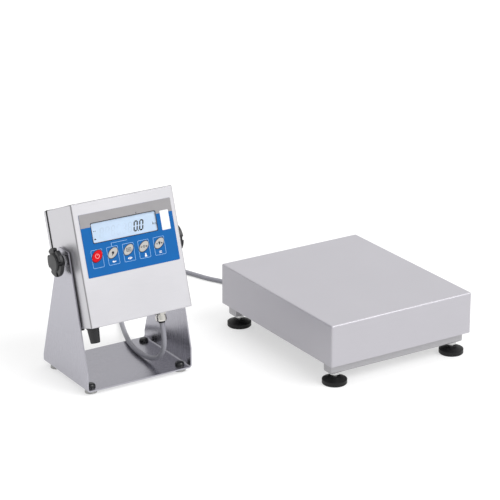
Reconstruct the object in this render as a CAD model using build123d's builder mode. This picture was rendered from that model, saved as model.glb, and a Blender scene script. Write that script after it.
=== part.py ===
from build123d import *
import os
from math import cos, pi, radians, sin, tan

# Washdown scale: a weighing platform on four levelling feet, with its display head on a stand beside it.
# Millimetres. +X runs right along the front, -Y is the front, +Z is up.
# The origin is on the floor, in the middle of the footprint.

# Weighing platform
PLATFORM_X = 162.0
PLATFORM_Y = -1.0
PAN_WIDTH = 250.0
PAN_DEPTH = 300.0
PAN_TOP = 99.0
PAN_SKIRT = 64.0
PAN_SHEET = 1.5
PAN_BEND = 2.5

# Base frame of the platform
FRAME_BOTTOM = 19.0
TUBE_WIDTH = 20.0
TUBE_HEIGHT = 25.0
TUBE_WALL = 2.0
TUBE_LENGTH = 232.0
TUBE_RADIUS = 2.5
TUBE_SPAN = 260.0
BEAM_WIDTH = 50.0
DRAIN_SLOT_LENGTH = 44.0
DRAIN_SLOT_WIDTH = 18.0
END_CAP_THICKNESS = 2.0

# Levelling feet
FOOT_SPAN_X = 211.0
THREAD_RADIUS = 4.0
RUNNING_GAP = 0.05
INSERT_RADIUS = 6.5
INSERT_HEIGHT = 12.0
FOOT_RADIUS = 18.5
FOOT_RIM = 6.8
FOOT_CONE_TOP = 10.6
FOOT_NECK_RADIUS = 8.0
FOOT_TOP = 11.4
STEM_BOTTOM = 4.05
STEM_TOP = 38.0
NUT_HEIGHT = 5.0
NUT_RADIUS = 7.5

# Load cell
CELL_LENGTH = 150.0
CELL_WIDTH = 40.0
CELL_HEIGHT = 32.0
CELL_BORE_RADIUS = 11.0
CELL_BORE_PITCH = 36.0
CELL_SLOT_HEIGHT = 7.0
CELL_SCREW_INSET = 19.0
CELL_SCREW_PITCH = 24.0
SPACER_LENGTH = 38.0
LOWER_SPACER = 5.0
UPPER_SPACER = 4.0
SCREW_RADIUS = 3.0
SCREW_HEAD_RADIUS = 5.0
SCREW_HEAD_HEIGHT = 6.0
SCREW_GRIP = 12.0
SCREW_KEY_RADIUS = 2.9
SCREW_HOLE_GAP = 0.2
SCREW_THREAD_GAP = 0.1

# Pan support on the free end of the load cell
SPINE_HEIGHT = 10.0
BAR_LENGTH = 226.0
BAR_SIZE = 20.0
PAD_SPAN_X = 200.0
PAD_RADIUS = 10.0
PAD_STEM_RADIUS = 4.0
PAD_GAP = 0.05
STOP_SPAN_X = 170.0
STOP_GAP = 1.2
STOP_TAIL = 3.0

# Stand of the display
STAND_X = -183.5
STAND_WIDTH = 173.0
STAND_FRONT = 15.0
STAND_REAR = 151.0
STAND_SHEET = 2.0
STAND_BOTTOM = 6.0
STAND_TOP = 205.0
ARM_TOP_FRONT = 63.0
ARM_TOP_REAR = 92.0
ARM_FRONT_KINK = 36.0
ARM_REAR_KINK = 18.0
ARM_TOP_RADIUS = 2.5
ARM_KINK_RADIUS = 10.0
BEND_RADIUS = 3.0
STAND_FOOT_SPAN_X = 148.0
STAND_FOOT_FRONT = 29.0
STAND_FOOT_REAR = 135.0
STAND_FOOT_RADIUS = 9.0
CAP_RADIUS = 7.0
CAP_HEIGHT = 5.5
CAP_HOLE_HEIGHT = 4.1
CAP_ROUNDING = 4.0

# Pivot of the display head and its two star knobs
PIVOT_Y = 79.0
PIVOT_Z = 187.5
KNOB_LOBES = 5
KNOB_FIRST_LOBE = 60.0
KNOB_RADIUS = 21.0
KNOB_NOTCH_WIDTH = 5.0
KNOB_NOTCH_RADIUS = 14.0
KNOB_PLATE_BACK = 8.0
KNOB_PLATE_FRONT = 14.5
KNOB_DOME_RADIUS = 13.8
KNOB_HUB_RADIUS = 7.0
KNOB_REACH = 17.0
KNOB_WASHER = 1.5
KNOB_WASHER_RADIUS = 9.0
STUD_INSIDE = 10.0
STUD_GRIP = 11.0
INSERT_LENGTH = 10.0
FRICTION_WASHER_RADIUS = 11.0
STUD_HOLE_GAP = 0.3
PIVOT_INSERT_RADIUS = 8.0

# Display head, measured on its own tilted front face
HEAD_WIDTH = 165.0
HEAD_HEIGHT = 178.0
SHELL_DEPTH = 80.0
HEAD_TILT = 17.8
HEAD_TOP_FALL = 4.6
HEAD_FRONT_RADIUS = 2.0
HEAD_EDGE_RADIUS = 1.6
HEAD_SHEET = 1.5
GASKET_THICKNESS = 2.0
GASKET_INSET = 1.0
GASKET_WIDTH = 5.5
COVER_DEPTH = 9.0
COVER_SCREW_INSET = 12.0
POST_WIDTH = 15.0
POST_HEIGHT = 12.0
POST_LENGTH = 14.0
COVER_SCREW_RADIUS = 2.0
COVER_SCREW_LENGTH = 18.0
COVER_SCREW_HEAD_RADIUS = 4.0
COVER_SCREW_HEAD_HEIGHT = 2.2
COVER_SCREW_KEY_RADIUS = 1.5
COVER_SCREW_KEY_DEPTH = 1.4
PIVOT_DEPTH = 45.5
PIVOT_DOWN = 79.0
OVERLAY_WIDTH = 148.8
OVERLAY_HEIGHT = 90.5
OVERLAY_TOP = 17.0
OVERLAY_ACROSS = 1.1
OVERLAY_RADIUS = 1.5
OVERLAY_THICKNESS = 0.6
WINDOW_WIDTH = 104.0
WINDOW_HEIGHT = 27.8
WINDOW_ACROSS = -4.5
WINDOW_DOWN = 45.9
WINDOW_RADIUS = 2.0
KEY_DOWN = 78.6
KEY_ACROSS = {"power": -54.7, "function": -29.6, "print": -4.1, "zero": 20.9, "tare": 46.2}
KEY_LONG_RADIUS = 9.2
KEY_SHORT_RADIUS = 5.5
KEY_SLANT = 38.0
POWER_KEY_LONG_RADIUS = 9.7
POWER_KEY_SHORT_RADIUS = 6.6
POWER_KEY_SLANT = 43.0
KEY_PROUD = 1.3
KEY_GAP = 0.35
KEY_FLANGE = 1.2
KEY_FLANGE_FRONT = 1.8
KEY_FLANGE_BACK = 3.2
KEY_SWITCH_FRONT = 4.3
BOARD_WIDTH = 140.0
BOARD_HEIGHT = 86.0
BOARD_FRONT = 16.0
BOARD_THICKNESS = 1.6
BOARD_DOWN = 61.0
BATTERY_WIDTH = 100.0
BATTERY_HEIGHT = 66.0
BATTERY_DEPTH = 40.0
BATTERY_FRONT = 38.0
SHELF_THICKNESS = 1.5
SHELF_LIP_HEIGHT = 30.0
SWITCH_WIDTH = 9.0
SWITCH_BODY_HEIGHT = 6.0

# Fittings under the display head
GLAND_ACROSS = 43.5
GLAND_DEPTH = 27.0
GLAND_LENGTH = 17.0
GLAND_HEX_RADIUS = 9.2
GLAND_HEX_HEIGHT = 4.0
GLAND_THREAD_RADIUS = 6.0
GLAND_THREAD_LENGTH = 10.0
GLAND_COLLAR_RADIUS = 6.6
GLAND_COLLAR_HEIGHT = 2.0
GLAND_NUT_RADIUS = 8.2
GLAND_NUT_LENGTH = 9.0
GLAND_SEAL_RADIUS = 4.8
SOCKET_ACROSS = -70.5
SOCKET_DEPTH = 20.0
SOCKET_RADIUS = 5.0
SOCKET_FLANGE_RADIUS = 9.5
SOCKET_FLANGE_HEIGHT = 2.0
SOCKET_LENGTH = 10.0
SOCKET_INSIDE = 12.0
PULL_CAP_LENGTH = 23.0
PULL_CAP_TOP_RADIUS = 8.75
PULL_CAP_END_RADIUS = 7.0
PULL_CAP_HOLE_DEPTH = 9.0
VENT_ACROSS = -70.0
VENT_DEPTH = 62.0
VENT_HEX_RADIUS = 6.5
VENT_HEIGHT = 6.0
VENT_THREAD_RADIUS = 4.0

# Sensor cable
CABLE_DIAMETER = 7.5
GROMMET_RADIUS = 7.0
GROMMET_PROUD = 2.5
GROMMET_NECK_RADIUS = 5.4
CABLE_ENTRY_Z = 29.5

# Worked out from the driving dimensions
PAN_UNDERSIDE = PAN_TOP - PAN_SHEET
FRAME_TOP = FRAME_BOTTOM + TUBE_HEIGHT
FRONT_TUBE_Y = PLATFORM_Y - TUBE_SPAN / 2
REAR_TUBE_Y = PLATFORM_Y + TUBE_SPAN / 2
BEAM_LENGTH = TUBE_SPAN - TUBE_WIDTH
CELL_BOTTOM = FRAME_TOP + LOWER_SPACER
CELL_TOP = CELL_BOTTOM + CELL_HEIGHT
SPINE_BOTTOM = CELL_TOP + UPPER_SPACER
SUPPORT_TOP = SPINE_BOTTOM + SPINE_HEIGHT
FIXED_END_Y = PLATFORM_Y + CELL_LENGTH / 2 - CELL_SCREW_INSET
FREE_END_Y = PLATFORM_Y - CELL_LENGTH / 2 + CELL_SCREW_INSET
BORE_RADIUS = THREAD_RADIUS + RUNNING_GAP
ARM_OUTSIDE = STAND_WIDTH / 2
COVER_FRONT = SHELL_DEPTH + GASKET_THICKNESS
COVER_BACK = COVER_FRONT + COVER_DEPTH
TOP_SLOPE = tan(radians(HEAD_TOP_FALL))
REAR_TOP = -SHELL_DEPTH * TOP_SLOPE
REAR_HEIGHT = HEAD_HEIGHT + REAR_TOP
REAR_MIDDLE = REAR_TOP - REAR_HEIGHT / 2
FOOT_SPOTS = [
    (PLATFORM_X + side * FOOT_SPAN_X / 2, tube_y) for tube_y in (FRONT_TUBE_Y, REAR_TUBE_Y) for side in (-1, 1)
]
SCREW_SPOTS = [
    (side * (HEAD_WIDTH / 2 - COVER_SCREW_INSET), down)
    for down in (REAR_TOP - COVER_SCREW_INSET, REAR_MIDDLE, COVER_SCREW_INSET - HEAD_HEIGHT)
    for side in (-1, 1)
]
FOOT_NAMES = ["front_left", "front_right", "rear_left", "rear_right"]
STOP_SPOTS = [
    (PLATFORM_X + side * STOP_SPAN_X / 2, tube_y) for tube_y in (FRONT_TUBE_Y, REAR_TUBE_Y) for side in (-1, 1)
]
PAD_SPOTS = [
    (PLATFORM_X + side * PAD_SPAN_X / 2, tube_y) for tube_y in (FRONT_TUBE_Y, REAR_TUBE_Y) for side in (-1, 1)
]
STAND_FOOT_SPOTS = [
    (STAND_X + side * STAND_FOOT_SPAN_X / 2, foot_y)
    for foot_y in (STAND_FOOT_FRONT, STAND_FOOT_REAR)
    for side in (-1, 1)
]

# The head's front face: local x runs across, local y up the face, local z out of it.
# Its origin is the middle of the face's top edge.
tilt = radians(HEAD_TILT)
OUTWARD = Vector(0, -cos(tilt), sin(tilt))
UPWARD = Vector(0, sin(tilt), cos(tilt))
PIVOT = Vector(STAND_X, PIVOT_Y, PIVOT_Z)
FACE = Plane(origin=PIVOT + OUTWARD * PIVOT_DEPTH + UPWARD * PIVOT_DOWN, x_dir=(1, 0, 0), z_dir=OUTWARD)
UP_AXIS = Axis((0, 0, 0), UPWARD)
OUT_AXIS = Axis((0, 0, 0), OUTWARD)

# The head's side view: local x runs from the front face to the rear, local y up the face.
SIDE = Plane(origin=FACE.origin, x_dir=-OUTWARD, z_dir=(1, 0, 0))


def under(across, depth):
    """Plane on the head's underside, facing down and out of it."""
    return Plane(origin=FACE.from_local_coords((across, -HEAD_HEIGHT, -depth)), x_dir=(1, 0, 0), z_dir=-UPWARD)


def side_view(front, back):
    """Side view of the head between two depths, its top falling to the rear."""
    return Polygon(
        (front, -front * TOP_SLOPE),
        (back, -back * TOP_SLOPE),
        (back, -HEAD_HEIGHT),
        (front, -HEAD_HEIGHT),
        align=None,
    )


def key_oval(key_name, margin=0, mode=Mode.ADD):
    """Slanted oval of a key, larger all round by the margin."""
    if key_name == "power":
        return Ellipse(
            POWER_KEY_LONG_RADIUS + margin, POWER_KEY_SHORT_RADIUS + margin, rotation=POWER_KEY_SLANT, mode=mode
        )
    return Ellipse(KEY_LONG_RADIUS + margin, KEY_SHORT_RADIUS + margin, rotation=KEY_SLANT, mode=mode)


def front_to_rear(edge):
    """Whether a straight edge runs from the head's front to its rear."""
    return abs((edge % 0.5).dot(OUTWARD)) > 0.9


os.makedirs("parts", exist_ok=True)


# Weighing pan: one folded sheet with welded corners, open below
with BuildPart() as weighing_pan:
    with BuildSketch(Plane.XY.offset(PAN_TOP - PAN_SKIRT)):
        with Locations((PLATFORM_X, PLATFORM_Y)):
            Rectangle(PAN_WIDTH, PAN_DEPTH)
    extrude(amount=PAN_SKIRT)
    fillet(weighing_pan.edges().filter_by(Axis.Z), radius=PAN_BEND)
    fillet(weighing_pan.faces().sort_by(Axis.Z)[-1].edges(), radius=PAN_BEND)
    offset(amount=-PAN_SHEET, openings=weighing_pan.faces().sort_by(Axis.Z)[0])
weighing_pan.part.label = "weighing_pan"
export_step(weighing_pan.part, "parts/weighing_pan.step")


# Cross tubes of the base frame, with holes for the foot inserts and the overload stops
for tube_name, tube_y in (("front_cross_tube", FRONT_TUBE_Y), ("rear_cross_tube", REAR_TUBE_Y)):
    with BuildPart() as cross_tube:
        with BuildSketch(Plane.YZ.offset(PLATFORM_X - TUBE_LENGTH / 2)):
            with Locations((tube_y, FRAME_BOTTOM + TUBE_HEIGHT / 2)):
                RectangleRounded(TUBE_WIDTH, TUBE_HEIGHT, TUBE_RADIUS)
                RectangleRounded(
                    TUBE_WIDTH - 2 * TUBE_WALL, TUBE_HEIGHT - 2 * TUBE_WALL, TUBE_RADIUS / 2, mode=Mode.SUBTRACT
                )
        extrude(amount=TUBE_LENGTH)
        with BuildSketch(Plane.XY.offset(FRAME_BOTTOM)):
            with Locations(*[spot for spot in FOOT_SPOTS if spot[1] == tube_y]):
                Circle(INSERT_RADIUS + RUNNING_GAP)
        extrude(amount=TUBE_WALL, mode=Mode.SUBTRACT)
        with BuildSketch(Plane.XY.offset(FRAME_TOP)):
            with Locations(*[spot for spot in STOP_SPOTS if spot[1] == tube_y]):
                Circle(THREAD_RADIUS + RUNNING_GAP)
        extrude(amount=-TUBE_WALL, mode=Mode.SUBTRACT)
        if tube_name == "rear_cross_tube":
            with BuildSketch(Plane.XZ.offset(-tube_y - TUBE_WIDTH / 2)):
                with Locations((PLATFORM_X, CABLE_ENTRY_Z)):
                    Circle(GROMMET_NECK_RADIUS + SCREW_THREAD_GAP)
            extrude(amount=TUBE_WALL, mode=Mode.SUBTRACT)
    cross_tube.part.label = tube_name
    export_step(cross_tube.part, f"parts/{tube_name}.step")


# Steel plates welded over the four tube ends
with BuildPart() as tube_end_caps:
    for side in (-1, 1):
        with BuildSketch(Plane.YZ.offset(PLATFORM_X + side * TUBE_LENGTH / 2)):
            with Locations(
                (FRONT_TUBE_Y, FRAME_BOTTOM + TUBE_HEIGHT / 2), (REAR_TUBE_Y, FRAME_BOTTOM + TUBE_HEIGHT / 2)
            ):
                RectangleRounded(TUBE_WIDTH, TUBE_HEIGHT, TUBE_RADIUS)
        extrude(amount=side * END_CAP_THICKNESS)
    chamfer(tube_end_caps.faces().sort_by(Axis.X)[0].edges(), 0.5)
    chamfer(tube_end_caps.faces().sort_by(Axis.X)[1].edges(), 0.5)
    chamfer(tube_end_caps.faces().sort_by(Axis.X)[-1].edges(), 0.5)
    chamfer(tube_end_caps.faces().sort_by(Axis.X)[-2].edges(), 0.5)
tube_end_caps.part.label = "tube_end_caps"
export_step(tube_end_caps.part, "parts/tube_end_caps.step")


# Centre beam between the cross tubes, which carries the fixed end of the load cell
with BuildPart() as centre_beam:
    with BuildSketch(Plane.XZ.offset(-FRONT_TUBE_Y - TUBE_WIDTH / 2)):
        with Locations((PLATFORM_X, FRAME_BOTTOM + TUBE_HEIGHT / 2)):
            RectangleRounded(BEAM_WIDTH, TUBE_HEIGHT, TUBE_RADIUS)
            RectangleRounded(
                BEAM_WIDTH - 2 * TUBE_WALL, TUBE_HEIGHT - 2 * TUBE_WALL, TUBE_RADIUS / 2, mode=Mode.SUBTRACT
            )
    extrude(amount=-BEAM_LENGTH)
    with BuildSketch(Plane.XY.offset(FRAME_TOP)):
        with Locations((PLATFORM_X, FIXED_END_Y)):
            with GridLocations(CELL_SCREW_PITCH, CELL_SCREW_PITCH, 2, 2):
                Circle(SCREW_RADIUS + SCREW_HOLE_GAP)
    extrude(amount=-TUBE_WALL, mode=Mode.SUBTRACT)
    with BuildSketch(Plane.XY.offset(FRAME_BOTTOM)):
        with Locations((PLATFORM_X, FIXED_END_Y)):
            with GridLocations(CELL_SCREW_PITCH, CELL_SCREW_PITCH, 2, 2):
                Circle(SCREW_HEAD_RADIUS + 1)
        with Locations((PLATFORM_X, PLATFORM_Y - 10), (PLATFORM_X, PLATFORM_Y - 80)):
            SlotOverall(DRAIN_SLOT_LENGTH, DRAIN_SLOT_WIDTH, rotation=90)
    extrude(amount=TUBE_WALL, mode=Mode.SUBTRACT)
centre_beam.part.label = "centre_beam"
export_step(centre_beam.part, "parts/centre_beam.step")


# Threaded inserts for the feet, welded into the tubes' undersides
with BuildPart() as foot_inserts:
    with BuildSketch(Plane.XY.offset(FRAME_BOTTOM)):
        with Locations(*FOOT_SPOTS):
            Circle(INSERT_RADIUS)
            Circle(BORE_RADIUS, mode=Mode.SUBTRACT)
    extrude(amount=INSERT_HEIGHT)
    chamfer(foot_inserts.edges().group_by(Axis.Z)[-1].filter_by(lambda edge: edge.radius > THREAD_RADIUS + 1), 0.8)
foot_inserts.part.label = "foot_inserts"
export_step(foot_inserts.part, "parts/foot_inserts.step")

with BuildPart() as lock_nuts:
    with BuildSketch(Plane.XY.offset(FRAME_BOTTOM - NUT_HEIGHT)):
        with Locations(*FOOT_SPOTS):
            RegularPolygon(NUT_RADIUS, 6)
            Circle(BORE_RADIUS, mode=Mode.SUBTRACT)
    extrude(amount=NUT_HEIGHT)
    chamfer(lock_nuts.edges().group_by(Axis.Z)[0].filter_by(GeomType.LINE), 0.6)
lock_nuts.part.label = "lock_nuts"
export_step(lock_nuts.part, "parts/lock_nuts.step")


# Levelling feet: a pad with a conical top, and the threaded stem that turns in it
for foot_name, foot_spot in zip(FOOT_NAMES, FOOT_SPOTS):
    foot_plane = Plane(origin=(*foot_spot, 0), x_dir=(1, 0, 0), z_dir=(0, -1, 0))
    foot_axis = Axis((*foot_spot, 0), (0, 0, 1))
    with BuildPart() as foot_pad:
        with BuildSketch(foot_plane):
            with BuildLine():
                Polyline(
                    (0, 0),
                    (FOOT_RADIUS - 1, 0),
                    (FOOT_RADIUS, 1),
                    (FOOT_RADIUS, FOOT_RIM),
                    (FOOT_NECK_RADIUS + 1, FOOT_CONE_TOP),
                    (FOOT_NECK_RADIUS, FOOT_CONE_TOP),
                    (FOOT_NECK_RADIUS, FOOT_TOP),
                    (THREAD_RADIUS + 0.1, FOOT_TOP),
                    (THREAD_RADIUS + 0.1, STEM_BOTTOM - 0.05),
                    (0, STEM_BOTTOM - 0.05),
                    close=True,
                )
            make_face()
        revolve(axis=foot_axis)
    foot_pad.part.label = f"foot_pad_{foot_name}"
    export_step(foot_pad.part, f"parts/foot_pad_{foot_name}.step")

    with BuildPart() as foot_stem:
        with BuildSketch(Plane.XY.offset(STEM_BOTTOM)):
            with Locations(foot_spot):
                Circle(THREAD_RADIUS)
        extrude(amount=STEM_TOP - STEM_BOTTOM)
        chamfer(foot_stem.edges().group_by(Axis.Z)[-1], 0.8)
        with BuildSketch(Plane.XY.offset(STEM_TOP)):
            with Locations(foot_spot):
                Rectangle(2 * THREAD_RADIUS, 1.2)
        extrude(amount=-1.5, mode=Mode.SUBTRACT)
    foot_stem.part.label = f"foot_stem_{foot_name}"
    export_step(foot_stem.part, f"parts/foot_stem_{foot_name}.step")


# Load cell: a single-point block whose binocular cut-out leaves four thin flexures
with BuildPart() as load_cell:
    with BuildSketch(Plane.YZ.offset(PLATFORM_X - CELL_WIDTH / 2)):
        with Locations((PLATFORM_Y, CELL_BOTTOM + CELL_HEIGHT / 2)):
            Rectangle(CELL_LENGTH, CELL_HEIGHT)
            Rectangle(CELL_BORE_PITCH, CELL_SLOT_HEIGHT, mode=Mode.SUBTRACT)
            with GridLocations(CELL_BORE_PITCH, 0, 2, 1):
                Circle(CELL_BORE_RADIUS, mode=Mode.SUBTRACT)
    extrude(amount=CELL_WIDTH)
    chamfer(load_cell.faces().sort_by(Axis.Y)[0].edges(), 1)
    chamfer(load_cell.faces().sort_by(Axis.Y)[-1].edges(), 1)
    with BuildSketch(Plane.XY.offset(CELL_BOTTOM)):
        with Locations((PLATFORM_X, FIXED_END_Y)):
            with GridLocations(CELL_SCREW_PITCH, CELL_SCREW_PITCH, 2, 2):
                Circle(SCREW_RADIUS + SCREW_THREAD_GAP)
    extrude(amount=SCREW_GRIP + 2, mode=Mode.SUBTRACT)
    with BuildSketch(Plane.XY.offset(CELL_TOP)):
        with Locations((PLATFORM_X, FREE_END_Y)):
            with GridLocations(CELL_SCREW_PITCH, CELL_SCREW_PITCH, 2, 2):
                Circle(SCREW_RADIUS + SCREW_THREAD_GAP)
    extrude(amount=-SCREW_GRIP - 2, mode=Mode.SUBTRACT)
load_cell.part.label = "load_cell"
export_step(load_cell.part, "parts/load_cell.step")

with BuildPart() as cell_spacers:
    for spacer_y, spacer_bottom, spacer_height in (
        (FIXED_END_Y, FRAME_TOP, LOWER_SPACER),
        (FREE_END_Y, CELL_TOP, UPPER_SPACER),
    ):
        with BuildSketch(Plane.XY.offset(spacer_bottom)):
            with Locations((PLATFORM_X, spacer_y)):
                RectangleRounded(CELL_WIDTH, SPACER_LENGTH, 2)
                with GridLocations(CELL_SCREW_PITCH, CELL_SCREW_PITCH, 2, 2):
                    Circle(SCREW_RADIUS + SCREW_HOLE_GAP, mode=Mode.SUBTRACT)
        extrude(amount=spacer_height)
cell_spacers.part.label = "cell_spacers"
export_step(cell_spacers.part, "parts/cell_spacers.step")

# Socket head screws: four from below at the fixed end, four from above at the free end
with BuildPart() as load_cell_screws:
    for screw_y, head_base, direction, grip in (
        (FIXED_END_Y, FRAME_TOP - TUBE_WALL, 1, TUBE_WALL + LOWER_SPACER + SCREW_GRIP),
        (FREE_END_Y, SUPPORT_TOP - SCREW_HEAD_HEIGHT, -1, SPINE_HEIGHT - SCREW_HEAD_HEIGHT + UPPER_SPACER + SCREW_GRIP),
    ):
        with BuildSketch(Plane.XY.offset(head_base)):
            with Locations((PLATFORM_X, screw_y)):
                with GridLocations(CELL_SCREW_PITCH, CELL_SCREW_PITCH, 2, 2):
                    Circle(SCREW_HEAD_RADIUS)
        extrude(amount=-direction * SCREW_HEAD_HEIGHT)
        with BuildSketch(Plane.XY.offset(head_base)):
            with Locations((PLATFORM_X, screw_y)):
                with GridLocations(CELL_SCREW_PITCH, CELL_SCREW_PITCH, 2, 2):
                    Circle(SCREW_RADIUS)
        extrude(amount=direction * grip)
        with BuildSketch(Plane.XY.offset(head_base - direction * SCREW_HEAD_HEIGHT)):
            with Locations((PLATFORM_X, screw_y)):
                with GridLocations(CELL_SCREW_PITCH, CELL_SCREW_PITCH, 2, 2):
                    RegularPolygon(SCREW_KEY_RADIUS, 6)
        extrude(amount=direction * SCREW_HEAD_HEIGHT / 2, mode=Mode.SUBTRACT)
load_cell_screws.part.label = "load_cell_screws"
export_step(load_cell_screws.part, "parts/load_cell_screws.step")


# Pan support: a spine on the free end of the load cell, with a tube bar across each end
with BuildPart() as support_spine:
    with BuildSketch(Plane.XY.offset(SPINE_BOTTOM)):
        with Locations((PLATFORM_X, PLATFORM_Y)):
            Rectangle(CELL_WIDTH, TUBE_SPAN - BAR_SIZE)
        with Locations((PLATFORM_X, FREE_END_Y)):
            with GridLocations(CELL_SCREW_PITCH, CELL_SCREW_PITCH, 2, 2):
                Circle(SCREW_RADIUS + SCREW_HOLE_GAP, mode=Mode.SUBTRACT)
        with Locations((PLATFORM_X, PLATFORM_Y + 15), (PLATFORM_X, PLATFORM_Y + 75)):
            SlotOverall(DRAIN_SLOT_LENGTH, DRAIN_SLOT_WIDTH, rotation=90, mode=Mode.SUBTRACT)
    extrude(amount=SPINE_HEIGHT)
    with BuildSketch(Plane.XY.offset(SUPPORT_TOP)):
        with Locations((PLATFORM_X, FREE_END_Y)):
            with GridLocations(CELL_SCREW_PITCH, CELL_SCREW_PITCH, 2, 2):
                Circle(SCREW_HEAD_RADIUS + 0.4)
    extrude(amount=-SCREW_HEAD_HEIGHT, mode=Mode.SUBTRACT)
support_spine.part.label = "support_spine"
export_step(support_spine.part, "parts/support_spine.step")

for bar_name, bar_y in (("support_front_bar", FRONT_TUBE_Y), ("support_rear_bar", REAR_TUBE_Y)):
    with BuildPart() as support_bar:
        with BuildSketch(Plane.YZ.offset(PLATFORM_X - BAR_LENGTH / 2)):
            with Locations((bar_y, SUPPORT_TOP - BAR_SIZE / 2)):
                RectangleRounded(BAR_SIZE, BAR_SIZE, TUBE_RADIUS)
                RectangleRounded(
                    BAR_SIZE - 2 * TUBE_WALL, BAR_SIZE - 2 * TUBE_WALL, TUBE_RADIUS / 2, mode=Mode.SUBTRACT
                )
        extrude(amount=BAR_LENGTH)
        with BuildSketch(Plane.XY.offset(SUPPORT_TOP)):
            with Locations(*[spot for spot in PAD_SPOTS if spot[1] == bar_y]):
                Circle(PAD_STEM_RADIUS + RUNNING_GAP)
        extrude(amount=-TUBE_WALL, mode=Mode.SUBTRACT)
    support_bar.part.label = bar_name
    export_step(support_bar.part, f"parts/{bar_name}.step")

with BuildPart() as pan_pads:
    with BuildSketch(Plane.XY.offset(SUPPORT_TOP)):
        with Locations(*PAD_SPOTS):
            Circle(PAD_RADIUS)
    extrude(amount=PAN_UNDERSIDE - PAD_GAP - SUPPORT_TOP)
    with BuildSketch(Plane.XY.offset(SUPPORT_TOP)):
        with Locations(*PAD_SPOTS):
            Circle(PAD_STEM_RADIUS)
    extrude(amount=-TUBE_WALL - 2)
pan_pads.part.label = "pan_pads"
export_step(pan_pads.part, "parts/pan_pads.step")

# Overload stops: threaded pins with nuts on the cross tubes, just short of the support bars
with BuildPart() as overload_stops:
    with BuildSketch(Plane.XY.offset(FRAME_TOP - TUBE_WALL - STOP_TAIL)):
        with Locations(*STOP_SPOTS):
            Circle(THREAD_RADIUS)
    extrude(amount=SUPPORT_TOP - BAR_SIZE - STOP_GAP - FRAME_TOP + TUBE_WALL + STOP_TAIL)
    chamfer(overload_stops.edges().group_by(Axis.Z)[-1], 1)
    with BuildSketch(Plane.XY.offset(FRAME_TOP)):
        with Locations(*STOP_SPOTS):
            RegularPolygon(NUT_RADIUS, 6)
    extrude(amount=NUT_HEIGHT)
overload_stops.part.label = "overload_stops"
export_step(overload_stops.part, "parts/overload_stops.step")

# Rubber grommet where the sensor cable enters the rear cross tube
with BuildPart() as cable_grommet:
    with BuildSketch(Plane.XZ.offset(-REAR_TUBE_Y - TUBE_WIDTH / 2)):
        with Locations((PLATFORM_X, CABLE_ENTRY_Z)):
            Circle(GROMMET_RADIUS)
    extrude(amount=-GROMMET_PROUD)
    chamfer(cable_grommet.edges().group_by(Axis.Y)[-1], 0.8)
    with BuildSketch(Plane.XZ.offset(-REAR_TUBE_Y - TUBE_WIDTH / 2)):
        with Locations((PLATFORM_X, CABLE_ENTRY_Z)):
            Circle(GROMMET_NECK_RADIUS)
    extrude(amount=TUBE_WALL)
cable_grommet.part.label = "cable_grommet"
export_step(cable_grommet.part, "parts/cable_grommet.step")


# Stand: one sheet bent into a U, whose arms taper to the pivot
with BuildPart() as stand_bracket:
    with BuildSketch(Plane.XZ.offset(-STAND_FRONT)):
        with Locations((STAND_X, STAND_BOTTOM)):
            Rectangle(STAND_WIDTH, STAND_TOP - STAND_BOTTOM, align=(Align.CENTER, Align.MIN))
        with Locations((STAND_X, STAND_BOTTOM + STAND_SHEET)):
            Rectangle(
                STAND_WIDTH - 2 * STAND_SHEET, STAND_TOP, align=(Align.CENTER, Align.MIN), mode=Mode.SUBTRACT
            )
    extrude(amount=STAND_FRONT - STAND_REAR)
    long_edges = stand_bracket.edges().filter_by(Axis.Y)
    fillet(long_edges.group_by(Axis.Z)[0], radius=BEND_RADIUS + STAND_SHEET)
    long_edges = stand_bracket.edges().filter_by(Axis.Y)
    inner_edges = long_edges.filter_by_position(Axis.Z, STAND_BOTTOM + STAND_SHEET - 0.1, STAND_BOTTOM + STAND_SHEET + 0.1)
    fillet(inner_edges, radius=BEND_RADIUS)
    with BuildSketch(Plane.YZ.offset(STAND_X - STAND_WIDTH)) as arm_outline:
        with BuildLine():
            Polyline(
                (STAND_FRONT, 0),
                (STAND_FRONT, ARM_FRONT_KINK),
                (ARM_TOP_FRONT, STAND_TOP),
                (ARM_TOP_REAR, STAND_TOP),
                (STAND_REAR, ARM_REAR_KINK),
                (STAND_REAR, 0),
                close=True,
            )
        make_face()
        fillet(arm_outline.vertices().group_by(Axis.Z)[-1], radius=ARM_TOP_RADIUS)
        fillet(
            arm_outline.vertices().filter_by_position(Axis.Z, ARM_REAR_KINK - 1, ARM_FRONT_KINK + 1),
            radius=ARM_KINK_RADIUS,
        )
    extrude(amount=2 * STAND_WIDTH, mode=Mode.INTERSECT)
    with BuildSketch(Plane.YZ.offset(STAND_X - STAND_WIDTH)):
        with Locations((PIVOT_Y, PIVOT_Z)):
            Circle(THREAD_RADIUS + STUD_HOLE_GAP)
    extrude(amount=2 * STAND_WIDTH, mode=Mode.SUBTRACT)
    with BuildSketch(Plane.XY.offset(STAND_BOTTOM)):
        with Locations(*STAND_FOOT_SPOTS):
            Circle(SCREW_RADIUS + SCREW_THREAD_GAP)
    extrude(amount=STAND_SHEET, mode=Mode.SUBTRACT)
stand_bracket.part.label = "stand_bracket"
export_step(stand_bracket.part, "parts/stand_bracket.step")

with BuildPart() as stand_feet:
    with BuildSketch(Plane.XY):
        with Locations(*STAND_FOOT_SPOTS):
            Circle(STAND_FOOT_RADIUS)
    extrude(amount=STAND_BOTTOM, taper=8)
    with BuildSketch(Plane.XY.offset(STAND_BOTTOM)):
        with Locations(*STAND_FOOT_SPOTS):
            Circle(SCREW_RADIUS)
    extrude(amount=STAND_SHEET + 4)
stand_feet.part.label = "stand_feet"
export_step(stand_feet.part, "parts/stand_feet.step")

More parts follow.
